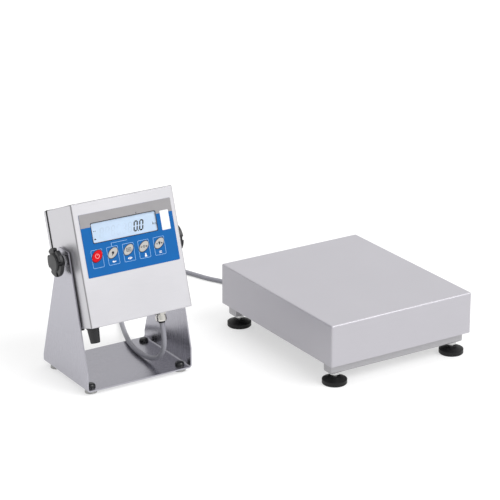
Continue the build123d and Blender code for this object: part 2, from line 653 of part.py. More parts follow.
with BuildPart() as foot_caps:
    with BuildSketch(Plane.XY.offset(STAND_BOTTOM + STAND_SHEET)):
        with Locations(*STAND_FOOT_SPOTS):
            Circle(CAP_RADIUS)
            Circle(SCREW_RADIUS + SCREW_THREAD_GAP, mode=Mode.SUBTRACT)
    extrude(amount=CAP_HOLE_HEIGHT)
    with BuildSketch(Plane.XY.offset(STAND_BOTTOM + STAND_SHEET + CAP_HOLE_HEIGHT)):
        with Locations(*STAND_FOOT_SPOTS):
            Circle(CAP_RADIUS)
    extrude(amount=CAP_HEIGHT - CAP_HOLE_HEIGHT)
    fillet(foot_caps.edges().group_by(Axis.Z)[-1], radius=CAP_ROUNDING)
foot_caps.part.label = "foot_caps"
export_step(foot_caps.part, "parts/foot_caps.step")


# Housing shell: a deep folded box, open at the back, with its windows and holes
with BuildPart() as housing_shell:
    with BuildSketch(SIDE):
        side_view(0, SHELL_DEPTH)
    extrude(amount=HEAD_WIDTH / 2, both=True)
    front_edges = housing_shell.edges().group_by(OUT_AXIS)[-1]
    fillet(front_edges.filter_by(UP_AXIS), radius=HEAD_FRONT_RADIUS)
    fillet(housing_shell.edges().filter_by(GeomType.LINE).filter_by(front_to_rear), radius=HEAD_EDGE_RADIUS)
    offset(amount=-HEAD_SHEET, openings=housing_shell.faces().sort_by(OUT_AXIS)[0])
    with BuildSketch(FACE):
        with Locations((WINDOW_ACROSS, -WINDOW_DOWN)):
            RectangleRounded(WINDOW_WIDTH, WINDOW_HEIGHT, WINDOW_RADIUS)
        for key_name, across in KEY_ACROSS.items():
            with Locations((across, -KEY_DOWN)):
                key_oval(key_name, KEY_GAP)
    extrude(amount=-HEAD_SHEET, mode=Mode.SUBTRACT)
    with BuildSketch(FACE.offset(-SHELL_DEPTH)):
        for across, down in SCREW_SPOTS:
            post_across = (HEAD_WIDTH / 2 - HEAD_SHEET - POST_WIDTH / 2) * (1 if across > 0 else -1)
            with Locations((post_across, down)):
                RectangleRounded(POST_WIDTH, POST_HEIGHT, 2)
    extrude(amount=POST_LENGTH)
    with BuildSketch(FACE.offset(-SHELL_DEPTH)):
        with Locations(*SCREW_SPOTS):
            Circle(COVER_SCREW_RADIUS + SCREW_THREAD_GAP)
    extrude(amount=POST_LENGTH, mode=Mode.SUBTRACT)
    with BuildSketch(Plane.YZ.offset(STAND_X - HEAD_WIDTH)):
        with Locations((PIVOT_Y, PIVOT_Z)):
            Circle(THREAD_RADIUS + STUD_HOLE_GAP)
    extrude(amount=2 * HEAD_WIDTH, mode=Mode.SUBTRACT)
    for across, depth, radius in (
        (GLAND_ACROSS, GLAND_DEPTH, GLAND_THREAD_RADIUS),
        (SOCKET_ACROSS, SOCKET_DEPTH, SOCKET_RADIUS),
        (VENT_ACROSS, VENT_DEPTH, VENT_THREAD_RADIUS),
    ):
        with BuildSketch(under(across, depth)):
            Circle(radius + SCREW_THREAD_GAP)
        extrude(amount=-HEAD_SHEET, mode=Mode.SUBTRACT)
housing_shell.part.label = "housing_shell"
export_step(housing_shell.part, "parts/housing_shell.step")

with BuildPart() as cover_gasket:
    with BuildSketch(FACE.offset(-SHELL_DEPTH)):
        with Locations((0, REAR_MIDDLE)):
            RectangleRounded(HEAD_WIDTH - 2 * GASKET_INSET, REAR_HEIGHT - 2 * GASKET_INSET, HEAD_EDGE_RADIUS)
            RectangleRounded(
                HEAD_WIDTH - 2 * GASKET_INSET - 2 * GASKET_WIDTH,
                REAR_HEIGHT - 2 * GASKET_INSET - 2 * GASKET_WIDTH,
                HEAD_EDGE_RADIUS,
                mode=Mode.SUBTRACT,
            )
    extrude(amount=-GASKET_THICKNESS)
cover_gasket.part.label = "cover_gasket"
export_step(cover_gasket.part, "parts/cover_gasket.step")

# Rear cover: a shallow tray with dimples for its six screws
with BuildPart() as rear_cover:
    with BuildSketch(SIDE):
        side_view(COVER_FRONT, COVER_BACK)
    extrude(amount=HEAD_WIDTH / 2, both=True)
    fillet(rear_cover.edges().filter_by(front_to_rear), radius=HEAD_EDGE_RADIUS)
    fillet(rear_cover.faces().sort_by(OUT_AXIS)[0].edges(), radius=HEAD_EDGE_RADIUS)
    offset(amount=-HEAD_SHEET, openings=rear_cover.faces().sort_by(OUT_AXIS)[-1])
    with BuildSketch(FACE.offset(-COVER_BACK)):
        with Locations(*SCREW_SPOTS):
            Circle(COVER_SCREW_RADIUS + SCREW_HOLE_GAP)
    extrude(amount=HEAD_SHEET, mode=Mode.SUBTRACT)
rear_cover.part.label = "rear_cover"
export_step(rear_cover.part, "parts/rear_cover.step")

with BuildPart() as cover_screws:
    with BuildSketch(FACE.offset(-COVER_BACK)):
        with Locations(*SCREW_SPOTS):
            Circle(COVER_SCREW_HEAD_RADIUS)
    extrude(amount=-COVER_SCREW_HEAD_HEIGHT)
    fillet(cover_screws.edges().group_by(OUT_AXIS)[0], radius=1.4)
    with BuildSketch(FACE.offset(-COVER_BACK - COVER_SCREW_HEAD_HEIGHT)):
        with Locations(*SCREW_SPOTS):
            RegularPolygon(COVER_SCREW_KEY_RADIUS, 6)
    extrude(amount=COVER_SCREW_KEY_DEPTH, mode=Mode.SUBTRACT)
    with BuildSketch(FACE.offset(-COVER_BACK)):
        with Locations(*SCREW_SPOTS):
            Circle(COVER_SCREW_RADIUS)
    extrude(amount=COVER_SCREW_LENGTH)
cover_screws.part.label = "cover_screws"
export_step(cover_screws.part, "parts/cover_screws.step")


# Front panel: overlay, window, display module and the five keys
with BuildPart() as keypad_overlay:
    with BuildSketch(FACE):
        with Locations((OVERLAY_ACROSS, -OVERLAY_TOP - OVERLAY_HEIGHT / 2)):
            RectangleRounded(OVERLAY_WIDTH, OVERLAY_HEIGHT, OVERLAY_RADIUS)
        with Locations((WINDOW_ACROSS, -WINDOW_DOWN)):
            RectangleRounded(WINDOW_WIDTH, WINDOW_HEIGHT, WINDOW_RADIUS, mode=Mode.SUBTRACT)
        for key_name, across in KEY_ACROSS.items():
            with Locations((across, -KEY_DOWN)):
                key_oval(key_name, KEY_GAP, mode=Mode.SUBTRACT)
    extrude(amount=OVERLAY_THICKNESS)
keypad_overlay.part.label = "keypad_overlay"
export_step(keypad_overlay.part, "parts/keypad_overlay.step")

with BuildPart() as display_window:
    with BuildSketch(FACE.offset(-HEAD_SHEET)):
        with Locations((WINDOW_ACROSS, -WINDOW_DOWN)):
            RectangleRounded(WINDOW_WIDTH - 0.2, WINDOW_HEIGHT - 0.2, WINDOW_RADIUS)
    extrude(amount=HEAD_SHEET + OVERLAY_THICKNESS - 0.1)
display_window.part.label = "display_window"
export_step(display_window.part, "parts/display_window.step")

with BuildPart() as display_module:
    with BuildSketch(FACE.offset(-HEAD_SHEET)):
        with Locations((WINDOW_ACROSS, -WINDOW_DOWN)):
            RectangleRounded(WINDOW_WIDTH + 8, WINDOW_HEIGHT + 6, 1.5)
    extrude(amount=-7)
display_module.part.label = "display_module"
export_step(display_module.part, "parts/display_module.step")

for key_name, across in KEY_ACROSS.items():
    with BuildPart() as key:
        with BuildSketch(FACE.offset(-KEY_FLANGE_FRONT)):
            with Locations((across, -KEY_DOWN)):
                key_oval(key_name)
        extrude(amount=KEY_FLANGE_FRONT + KEY_PROUD)
        fillet(key.edges().group_by(OUT_AXIS)[-1], radius=0.7)
        with BuildSketch(FACE.offset(-KEY_FLANGE_FRONT)):
            with Locations((across, -KEY_DOWN)):
                key_oval(key_name, KEY_FLANGE)
        extrude(amount=KEY_FLANGE_FRONT - KEY_FLANGE_BACK)
    key.part.label = f"{key_name}_key"
    export_step(key.part, f"parts/{key_name}_key.step")


# Electronics inside the head
with BuildPart() as main_board:
    with BuildSketch(FACE.offset(-BOARD_FRONT)):
        with Locations((0, -BOARD_DOWN)):
            RectangleRounded(BOARD_WIDTH, BOARD_HEIGHT, 2)
            with GridLocations(BOARD_WIDTH - 8, BOARD_HEIGHT - 8, 2, 2):
                Circle(1.6, mode=Mode.SUBTRACT)
    extrude(amount=-BOARD_THICKNESS)
main_board.part.label = "main_board"
export_step(main_board.part, "parts/main_board.step")

with BuildPart() as board_spacers:
    with BuildSketch(FACE.offset(-HEAD_SHEET)):
        with Locations((0, -BOARD_DOWN)):
            with GridLocations(BOARD_WIDTH - 8, BOARD_HEIGHT - 8, 2, 2):
                RegularPolygon(3.4, 6)
    extrude(amount=HEAD_SHEET - BOARD_FRONT)
board_spacers.part.label = "board_spacers"
export_step(board_spacers.part, "parts/board_spacers.step")

with BuildPart() as key_switches:
    for across in KEY_ACROSS.values():
        with BuildSketch(FACE.offset(-BOARD_FRONT)):
            with Locations((across, -KEY_DOWN)):
                RectangleRounded(SWITCH_WIDTH, SWITCH_WIDTH, 1)
        extrude(amount=SWITCH_BODY_HEIGHT)
        with BuildSketch(FACE.offset(SWITCH_BODY_HEIGHT - BOARD_FRONT)):
            with Locations((across, -KEY_DOWN)):
                Circle(2.5)
        extrude(amount=BOARD_FRONT - SWITCH_BODY_HEIGHT - KEY_SWITCH_FRONT)
key_switches.part.label = "key_switches"
export_step(key_switches.part, "parts/key_switches.step")

battery_down = HEAD_HEIGHT - HEAD_SHEET - SHELF_THICKNESS - BATTERY_HEIGHT / 2
with BuildPart() as battery:
    with BuildSketch(FACE.offset(-BATTERY_FRONT)):
        with Locations((0, -battery_down)):
            RectangleRounded(BATTERY_WIDTH, BATTERY_HEIGHT, 3)
    extrude(amount=-BATTERY_DEPTH)
battery.part.label = "battery"
export_step(battery.part, "parts/battery.step")

# Shelf under the battery, with a lip up each end of it
with BuildPart() as battery_shelf:
    with BuildSketch(FACE.offset(-BATTERY_FRONT)):
        with Locations((0, HEAD_SHEET - HEAD_HEIGHT)):
            Rectangle(BATTERY_WIDTH + 12, SHELF_THICKNESS, align=(Align.CENTER, Align.MIN))
        for side in (-1, 1):
            with Locations((side * (BATTERY_WIDTH / 2 + 3), HEAD_SHEET - HEAD_HEIGHT)):
                Rectangle(SHELF_THICKNESS, SHELF_LIP_HEIGHT, align=(Align.CENTER, Align.MIN))
    extrude(amount=2 - BATTERY_DEPTH)
battery_shelf.part.label = "battery_shelf"
export_step(battery_shelf.part, "parts/battery_shelf.step")


# Pivot: threaded inserts in the head's sides and friction washers between head and arms
with BuildPart() as pivot_inserts:
    for side in (-1, 1):
        with BuildSketch(Plane.YZ.offset(STAND_X + side * (HEAD_WIDTH / 2 - HEAD_SHEET))):
            with Locations((PIVOT_Y, PIVOT_Z)):
                Circle(PIVOT_INSERT_RADIUS)
                Circle(BORE_RADIUS, mode=Mode.SUBTRACT)
        extrude(amount=-side * INSERT_LENGTH)
pivot_inserts.part.label = "pivot_inserts"
export_step(pivot_inserts.part, "parts/pivot_inserts.step")

washer_thickness = (STAND_WIDTH - HEAD_WIDTH) / 2 - STAND_SHEET - 2 * RUNNING_GAP
with BuildPart() as friction_washers:
    for side in (-1, 1):
        with BuildSketch(Plane.YZ.offset(STAND_X + side * HEAD_WIDTH / 2)):
            with Locations((PIVOT_Y, PIVOT_Z)):
                Circle(FRICTION_WASHER_RADIUS)
                Circle(THREAD_RADIUS + STUD_HOLE_GAP, mode=Mode.SUBTRACT)
        extrude(amount=side * washer_thickness)
friction_washers.part.label = "friction_washers"
export_step(friction_washers.part, "parts/friction_washers.step")

# Star knobs: a five-lobed plate with a raised dome on a hub, its threaded stud, and a washer against the arm
knob_start = ARM_OUTSIDE + RUNNING_GAP + KNOB_WASHER + RUNNING_GAP
notch_angle = KNOB_FIRST_LOBE + 180 / KNOB_LOBES
for knob_name, side in (("left_knob", -1), ("right_knob", 1)):
    away = Axis((0, 0, 0), (side, 0, 0))
    with BuildPart() as knob_washer:
        with BuildSketch(Plane.YZ.offset(STAND_X + side * (ARM_OUTSIDE + RUNNING_GAP))):
            with Locations((PIVOT_Y, PIVOT_Z)):
                Circle(KNOB_WASHER_RADIUS)
                Circle(THREAD_RADIUS + STUD_HOLE_GAP, mode=Mode.SUBTRACT)
        extrude(amount=side * KNOB_WASHER)
    knob_washer.part.label = f"{knob_name}_washer"
    export_step(knob_washer.part, f"parts/{knob_name}_washer.step")

    with BuildPart() as knob:
        with BuildSketch(Plane.YZ.offset(STAND_X + side * (ARM_OUTSIDE + KNOB_PLATE_BACK))) as star:
            with Locations((PIVOT_Y, PIVOT_Z)):
                Circle(KNOB_RADIUS)
                with PolarLocations(KNOB_RADIUS, KNOB_LOBES, start_angle=notch_angle):
                    SlotOverall(2 * (KNOB_RADIUS - KNOB_NOTCH_RADIUS), KNOB_NOTCH_WIDTH, mode=Mode.SUBTRACT)
            lobe_corners = star.vertices().sort_by_distance((STAND_X, PIVOT_Y, PIVOT_Z))[-2 * KNOB_LOBES :]
            fillet(lobe_corners, radius=2.2)
        extrude(amount=side * (KNOB_PLATE_FRONT - KNOB_PLATE_BACK))
        fillet(knob.faces().sort_by(away)[0].edges(), radius=2)
        fillet(knob.faces().sort_by(away)[-1].edges(), radius=1.2)
        with BuildSketch(Plane.YZ.offset(STAND_X + side * (ARM_OUTSIDE + KNOB_PLATE_FRONT))):
            with Locations((PIVOT_Y, PIVOT_Z)):
                Circle(KNOB_DOME_RADIUS)
        extrude(amount=side * (KNOB_REACH - KNOB_PLATE_FRONT))
        fillet(knob.faces().sort_by(away)[-1].edges(), radius=KNOB_REACH - KNOB_PLATE_FRONT - 0.3)
        with BuildSketch(Plane.YZ.offset(STAND_X + side * knob_start)):
            with Locations((PIVOT_Y, PIVOT_Z)):
                Circle(KNOB_HUB_RADIUS)
        extrude(amount=side * (ARM_OUTSIDE + KNOB_PLATE_BACK + 1 - knob_start))
        with BuildSketch(Plane.YZ.offset(STAND_X + side * knob_start)):
            with Locations((PIVOT_Y, PIVOT_Z)):
                Circle(THREAD_RADIUS)
        extrude(amount=side * STUD_GRIP, mode=Mode.SUBTRACT)
    knob.part.label = knob_name
    export_step(knob.part, f"parts/{knob_name}.step")

    with BuildPart() as knob_stud:
        with BuildSketch(Plane.YZ.offset(STAND_X + side * (knob_start + STUD_GRIP))):
            with Locations((PIVOT_Y, PIVOT_Z)):
                Circle(THREAD_RADIUS)
        extrude(amount=side * (HEAD_WIDTH / 2 - STUD_INSIDE - knob_start - STUD_GRIP))
    knob_stud.part.label = f"{knob_name}_stud"
    export_step(knob_stud.part, f"parts/{knob_name}_stud.step")


# Cable gland under the head: hexagon body with its inner nut, domed nut and rubber seal
gland = under(GLAND_ACROSS, GLAND_DEPTH)
downward = Axis((0, 0, 0), -UPWARD)
with BuildPart() as gland_body:
    with BuildSketch(gland):
        RegularPolygon(GLAND_HEX_RADIUS, 6)
    extrude(amount=GLAND_HEX_HEIGHT)
    with BuildSketch(gland):
        Circle(GLAND_THREAD_RADIUS)
    extrude(amount=-GLAND_THREAD_LENGTH)
    with BuildSketch(gland.offset(-HEAD_SHEET)):
        RegularPolygon(GLAND_HEX_RADIUS, 6)
    extrude(amount=-GLAND_HEX_HEIGHT)
    with BuildSketch(gland.offset(GLAND_HEX_HEIGHT)):
        Circle(GLAND_COLLAR_RADIUS)
    extrude(amount=GLAND_COLLAR_HEIGHT)
gland_body.part.label = "gland_body"
export_step(gland_body.part, "parts/gland_body.step")

nut_start = GLAND_HEX_HEIGHT + GLAND_COLLAR_HEIGHT
with BuildPart() as gland_nut:
    with BuildSketch(gland.offset(nut_start)):
        Circle(GLAND_NUT_RADIUS)
    extrude(amount=GLAND_NUT_LENGTH)
    fillet(gland_nut.edges().sort_by(downward)[-1], radius=2.5)
    with BuildSketch(gland.offset(nut_start + GLAND_NUT_LENGTH)):
        Circle(GLAND_SEAL_RADIUS + SCREW_THREAD_GAP)
    extrude(amount=1 - GLAND_NUT_LENGTH, mode=Mode.SUBTRACT)
gland_nut.part.label = "gland_nut"
export_step(gland_nut.part, "parts/gland_nut.step")

with BuildPart() as gland_seal:
    with BuildSketch(gland.offset(nut_start + 1)):
        Circle(GLAND_SEAL_RADIUS)
    extrude(amount=GLAND_LENGTH - nut_start - 1)
gland_seal.part.label = "gland_seal"
export_step(gland_seal.part, "parts/gland_seal.step")

# Connector socket under the head, with its tapered pull-off cap
socket = under(SOCKET_ACROSS, SOCKET_DEPTH)
with BuildPart() as connector_socket:
    with BuildSketch(socket):
        Circle(SOCKET_FLANGE_RADIUS)
    extrude(amount=SOCKET_FLANGE_HEIGHT)
    with BuildSketch(socket.offset(SOCKET_LENGTH)):
        Circle(SOCKET_RADIUS)
    extrude(amount=-SOCKET_LENGTH - SOCKET_INSIDE)
connector_socket.part.label = "connector_socket"
export_step(connector_socket.part, "parts/connector_socket.step")

cap_start = SOCKET_FLANGE_HEIGHT + 0.1
with BuildPart() as connector_cap:
    with BuildSketch(socket.offset(cap_start)):
        Circle(PULL_CAP_TOP_RADIUS)
    with BuildSketch(socket.offset(PULL_CAP_LENGTH)):
        Circle(PULL_CAP_END_RADIUS)
    loft()
    fillet(connector_cap.edges().sort_by(downward)[-1], radius=1.5)
    with BuildSketch(socket.offset(cap_start)):
        Circle(SOCKET_RADIUS + 0.1)
    extrude(amount=PULL_CAP_HOLE_DEPTH, mode=Mode.SUBTRACT)
connector_cap.part.label = "connector_cap"
export_step(connector_cap.part, "parts/connector_cap.step")

with BuildPart() as vent_plug:
    with BuildSketch(under(VENT_ACROSS, VENT_DEPTH)):
        RegularPolygon(VENT_HEX_RADIUS, 6)
    extrude(amount=VENT_HEIGHT)
    with BuildSketch(under(VENT_ACROSS, VENT_DEPTH)):
        Circle(VENT_THREAD_RADIUS)
    extrude(amount=-VENT_HEIGHT)
vent_plug.part.label = "vent_plug"
export_step(vent_plug.part, "parts/vent_plug.step")


# Sensor cable: out of the gland, down to the stand's plate, back along the floor and round to the platform
gland_mouth = gland.offset(GLAND_LENGTH).origin
first_bend = gland.offset(GLAND_LENGTH + 19).origin
CABLE_ROUTE = [
    tuple(gland_mouth),
    tuple(first_bend),
    (-140.3, 19.3, 46.5),
    (-140.8, 29.5, 28.5),
    (-141.5, 49, 17.8),
    (-142.3, 74, 13.2),
    (-141.8, 101, 12.8),
    (-137, 129, 13.2),
    (-127.5, 157, 13),
    (-114, 187, 6.5),
    (-97, 227, 4),
    (-76, 275, 4),
    (-53, 317, 4),
    (-27.5, 354, 4),
    (-1, 390, 4),
    (32, 404, 4),
    (66, 399, 4),
    (92.5, 377, 4),
    (104, 345, 4),
    (114, 315, 4),
    (128, 291.5, 4),
    (139.5, 246, 4),
    (151, 210, 9),
    (159.5, 181, 21),
    (PLATFORM_X, 159, CABLE_ENTRY_Z),
    (PLATFORM_X, REAR_TUBE_Y + TUBE_WIDTH / 2 + GROMMET_PROUD, CABLE_ENTRY_Z),
]
LAST_DROP_POINT = 5


def bend_radius(before, corner, after):
    """Largest arc that 0.45 of the shorter run leaves room for."""
    run_in = Vector(*corner) - Vector(*before)
    run_out = Vector(*after) - Vector(*corner)
    half_turn = radians(run_in.get_angle(run_out) / 2)
    return 0.45 * min(run_in.length, run_out.length) / tan(half_turn)


cable_radii = [bend_radius(*CABLE_ROUTE[i - 1 : i + 2]) for i in range(1, len(CABLE_ROUTE) - 1)]
print("cable bend radii:", [round(radius) for radius in cable_radii])
split_point = tuple((Vector(*CABLE_ROUTE[LAST_DROP_POINT]) + Vector(*CABLE_ROUTE[LAST_DROP_POINT + 1])) / 2)
drop_route = CABLE_ROUTE[: LAST_DROP_POINT + 1] + [split_point]
run_route = [split_point] + CABLE_ROUTE[LAST_DROP_POINT + 1 :]
cable_length = 0
for cable_name, route, radii in (
    ("sensor_cable_drop", drop_route, cable_radii[:LAST_DROP_POINT]),
    ("sensor_cable_run", run_route, cable_radii[LAST_DROP_POINT:]),
):
    with BuildPart() as cable:
        with BuildLine() as cable_line:
            FilletPolyline(*route, radius=radii)
        with BuildSketch(Plane(origin=cable_line.line @ 0, z_dir=cable_line.line % 0)):
            Circle(CABLE_DIAMETER / 2)
        sweep()
    span = sum(edge.length for edge in cable_line.edges())
    cable_length += span
    expected = span * pi * (CABLE_DIAMETER / 2) ** 2
    print(cable_name, "length", round(span), "volume ratio", round(cable.part.volume / expected, 4))
    cable.part.label = cable_name
    export_step(cable.part, f"parts/{cable_name}.step")
print("cable length", round(cable_length))
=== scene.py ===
from math import atan2, cos, pi, radians, sin

import bmesh
import bpy
from mathutils import Matrix, Vector


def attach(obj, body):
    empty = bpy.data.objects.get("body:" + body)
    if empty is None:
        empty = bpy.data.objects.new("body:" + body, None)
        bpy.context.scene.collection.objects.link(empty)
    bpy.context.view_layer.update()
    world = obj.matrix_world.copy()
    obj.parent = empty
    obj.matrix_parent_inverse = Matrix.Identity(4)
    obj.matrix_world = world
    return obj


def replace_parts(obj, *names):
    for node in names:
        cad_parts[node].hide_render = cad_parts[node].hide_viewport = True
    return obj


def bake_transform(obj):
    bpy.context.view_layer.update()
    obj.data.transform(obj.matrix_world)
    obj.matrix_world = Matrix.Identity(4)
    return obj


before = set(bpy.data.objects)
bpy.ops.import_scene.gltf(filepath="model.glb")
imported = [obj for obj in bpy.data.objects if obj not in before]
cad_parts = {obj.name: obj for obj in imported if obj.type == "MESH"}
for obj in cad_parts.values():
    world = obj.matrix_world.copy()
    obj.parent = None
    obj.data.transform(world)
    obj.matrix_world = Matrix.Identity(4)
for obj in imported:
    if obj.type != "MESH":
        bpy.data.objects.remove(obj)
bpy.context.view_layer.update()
MM = 0.001

# The head's front face: across runs right, down runs down the face from its top edge, out points out of it
TILT = radians(17.8)
OUT = Vector((0, -cos(TILT), sin(TILT)))
UP = Vector((0, sin(TILT), cos(TILT)))
PIVOT = Vector((-0.1835, 0.079, 0.1875))
FACE_ORIGIN = PIVOT + OUT * 0.0455 + UP * 0.079


def face_matrix(across=0, down=0, out=0):
    """Matrix from millimetres on the face, with its origin at a point of the face, to the row frame."""
    matrix = Matrix((Vector((1, 0, 0)), UP, OUT)).transposed().to_4x4()
    matrix.translation = FACE_ORIGIN + Vector((across * MM, 0, 0)) - UP * down * MM + OUT * out * MM
    return matrix @ Matrix.Scale(MM, 4)


# Camera, solved from the photograph
CAMERA_PLACE = (-1.614665, -2.54829, 1.29416)
CAMERA_PITCH = radians(20.35)
CAMERA_YAW = radians(32.27)
CAMERA_LENS = 159.08

camera_data = bpy.data.cameras.new("camera")
camera_data.sensor_fit = "HORIZONTAL"
camera_data.sensor_width = 36
camera_data.lens = CAMERA_LENS
camera = bpy.data.objects.new("camera", camera_data)
camera.location = CAMERA_PLACE
camera.rotation_euler = (pi / 2 - CAMERA_PITCH, 0, -CAMERA_YAW)
bpy.context.scene.collection.objects.link(camera)
bpy.context.scene.camera = camera
bpy.context.scene.view_settings.view_transform = "Standard"


# Mesh helpers
def add_mesh(name, mesh, body, material, smooth_angle=35):
    """Link a mesh as a piece that rides on a body."""
    piece = bpy.data.objects.new(name, mesh)
    bpy.context.scene.collection.objects.link(piece)
    mesh.materials.clear()
    mesh.materials.append(material)
    mesh.shade_smooth()
    mesh.set_sharp_from_angle(angle=radians(smooth_angle))
    if body:
        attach(piece, body)
    return piece


def flat_mesh(loops, thickness, matrix):
    """Plate of closed outlines in millimetres, its back on local z = 0; an inner outline is a hole."""
    curve = bpy.data.curves.new("outline", "CURVE")
    curve.dimensions = "2D"
    curve.fill_mode = "BOTH"
    curve.extrude = thickness / 2
    for loop in loops:
        spline = curve.splines.new("POLY")
        spline.points.add(len(loop) - 1)
        spline.use_cyclic_u = True
        for point, (x, y) in zip(spline.points, loop):
            point.co = (x, y, 0, 1)
    holder = bpy.data.objects.new("outline", curve)
    bpy.context.scene.collection.objects.link(holder)
    mesh = bpy.data.meshes.new_from_object(holder)
    bpy.data.objects.remove(holder)
    bpy.data.curves.remove(curve)
    mesh.transform(matrix @ Matrix.Translation((0, 0, thickness / 2)))
    return mesh


def circle(x, y, radius, points=40, start=0, turn=2 * pi):
    full = abs(turn - 2 * pi) < 1e-6
    steps = points if full else points - 1
    angles = [start + turn * i / steps for i in range(points)]
    return [(x + radius * cos(angle), y + radius * sin(angle)) for angle in angles]


def rounded(x, y, width, height, radius, points=7):
    """Rounded rectangle round its middle."""
    outline = []
    for corner, (side_x, side_y) in enumerate(((1, 1), (-1, 1), (-1, -1), (1, -1))):
        centre_x = x + side_x * (width / 2 - radius)
        centre_y = y + side_y * (height / 2 - radius)
        outline += circle(centre_x, centre_y, radius, points, corner * pi / 2, pi / 2)
    return outline


def arc_band(x, y, inner, outer, start, turn, points=24):
    """Band along part of a circle."""
    return circle(x, y, outer, points, start, turn) + circle(x, y, inner, points, start, turn)[::-1]


def bar(x0, y0, x1, y1, width):
    """Straight stroke from one point to another."""
    angle = atan2(y1 - y0, x1 - x0)
    off_x = -sin(angle) * width / 2
    off_y = cos(angle) * width / 2
    start = [(x0 + off_x, y0 + off_y), (x0 - off_x, y0 - off_y)]
    end = [(x1 - off_x, y1 - off_y), (x1 + off_x, y1 + off_y)]
    return start + end


def tube_mesh(path, radius, sides=20):
    """Closed tube round a path of points in the row frame."""
    tube = bmesh.new()
    rings = []
    normal = None
    for i, point in enumerate(path):
        ahead = path[min(i + 1, len(path) - 1)]
        behind = path[max(i - 1, 0)]
        tangent = (ahead - behind).normalized()
        if normal is None:
            normal = tangent.orthogonal().normalized()
        normal = (normal - tangent * normal.dot(tangent)).normalized()
        side = tangent.cross(normal)
        angles = [2 * pi * k / sides for k in range(sides)]
        rings.append([tube.verts.new(point + (normal * cos(a) + side * sin(a)) * radius) for a in angles])
    for ring, after in zip(rings, rings[1:]):
        for k in range(sides):
            tube.faces.new((ring[k], ring[(k + 1) % sides], after[(k + 1) % sides], after[k]))
    tube.faces.new(rings[0][::-1])
    tube.faces.new(rings[-1])
    bmesh.ops.recalc_face_normals(tube, faces=tube.faces)
    mesh = bpy.data.meshes.new("tube")
    tube.to_mesh(mesh)
    tube.free()
    return mesh


# Materials
def rgb(red, green, blue):
    """Colour from its 0 to 255 screen values."""
    levels = [v / 255 for v in (red, green, blue)]
    return tuple(v / 12.92 if v <= 0.04 else ((v + 0.055) / 1.055) ** 2.4 for v in levels) + (1,)


def new_material(name, colour, roughness, metallic=0.0):
    material = bpy.data.materials.new(name)
    material.use_nodes = True
    shader = material.node_tree.nodes["Principled BSDF"]
    shader.inputs["Base Color"].default_value = colour
    shader.inputs["Roughness"].default_value = roughness
    shader.inputs["Metallic"].default_value = metallic
    return material, material.node_tree, shader


def noise(tree, scale, stretch=(1, 1, 1), detail=3.0, rough=0.5):
    """Noise in the row frame's own coordinates, at a number of features to the metre."""
    place = tree.nodes.new("ShaderNodeTexCoord")
    mapping = tree.nodes.new("ShaderNodeMapping")
    mapping.inputs["Scale"].default_value = stretch
    texture = tree.nodes.new("ShaderNodeTexNoise")
    texture.inputs["Scale"].default_value = scale
    texture.inputs["Detail"].default_value = detail
    texture.inputs["Roughness"].default_value = rough
    tree.links.new(place.outputs["Object"], mapping.inputs["Vector"])
    tree.links.new(mapping.outputs["Vector"], texture.inputs["Vector"])
    return texture.outputs["Fac"]


def ranged(tree, value, low, high):
    """Map 0.3..0.7 of a noise to low..high."""
    node = tree.nodes.new("ShaderNodeMapRange")
    node.inputs["From Min"].default_value = 0.3
    node.inputs["From Max"].default_value = 0.7
    node.inputs["To Min"].default_value = low
    node.inputs["To Max"].default_value = high
    tree.links.new(value, node.inputs["Value"])
    return node.outputs["Result"]


def tinted(tree, colour, value, low, high):
    """A colour made darker or lighter by a noise."""
    node = tree.nodes.new("ShaderNodeMix")
    node.data_type = "RGBA"
    node.inputs["A"].default_value = tuple(c * low for c in colour[:3]) + (1,)
    node.inputs["B"].default_value = tuple(min(1, c * high) for c in colour[:3]) + (1,)
    tree.links.new(ranged(tree, value, 0, 1), node.inputs["Factor"])
    return node.outputs["Result"]


def bumped(tree, shader, value, strength, depth):
    node = tree.nodes.new("ShaderNodeBump")
    node.inputs["Strength"].default_value = strength
    node.inputs["Distance"].default_value = depth
    tree.links.new(value, node.inputs["Height"])
    tree.links.new(node.outputs["Normal"], shader.inputs["Normal"])


def brushed_steel(
    name, colour, roughness, grain=(0.02, 1, 1), metallic=1.0, spread=0.05, tint=(0.97, 1.02)
):
    """Stainless sheet with long fine grain lines and soft smears; less metallic is a blasted one."""
    material, tree, shader = new_material(name, colour, roughness, metallic)
    lines = noise(tree, 1800, grain, 4)
    smears = noise(tree, 14, (1, 1, 1), 2)
    both = tree.nodes.new("ShaderNodeMath")
    both.operation = "MULTIPLY_ADD"
    both.inputs[1].default_value = 0.55
    tree.links.new(lines, both.inputs[0])
    half = tree.nodes.new("ShaderNodeMath")
    half.operation = "MULTIPLY"
    half.inputs[1].default_value = 0.45
    tree.links.new(smears, half.inputs[0])
    tree.links.new(half.outputs[0], both.inputs[2])
    rough = ranged(tree, both.outputs[0], roughness - spread, roughness + spread)
    tree.links.new(rough, shader.inputs["Roughness"])
    tree.links.new(tinted(tree, colour, both.outputs[0], *tint), shader.inputs["Base Color"])
    bumped(tree, shader, lines, 0.12, 0.00004)
    return material


def moulded(name, colour, roughness, grain_scale=2600, depth=0.00005, tint=(0.9, 1.12), specular=0.5):
    """Moulded plastic or rubber: a fine spark-eroded grain and slight wear."""
    material, tree, shader = new_material(name, colour, roughness)
    grain = noise(tree, grain_scale, (1, 1, 1), 3)
    wear = noise(tree, 60, (1, 1, 1), 3)
    tree.links.new(ranged(tree, wear, roughness - 0.06, roughness + 0.08), shader.inputs["Roughness"])
    tree.links.new(tinted(tree, colour, wear, *tint), shader.inputs["Base Color"])
    bumped(tree, shader, grain, 0.25, depth)
    shader.inputs["Specular IOR Level"].default_value = specular
    return material


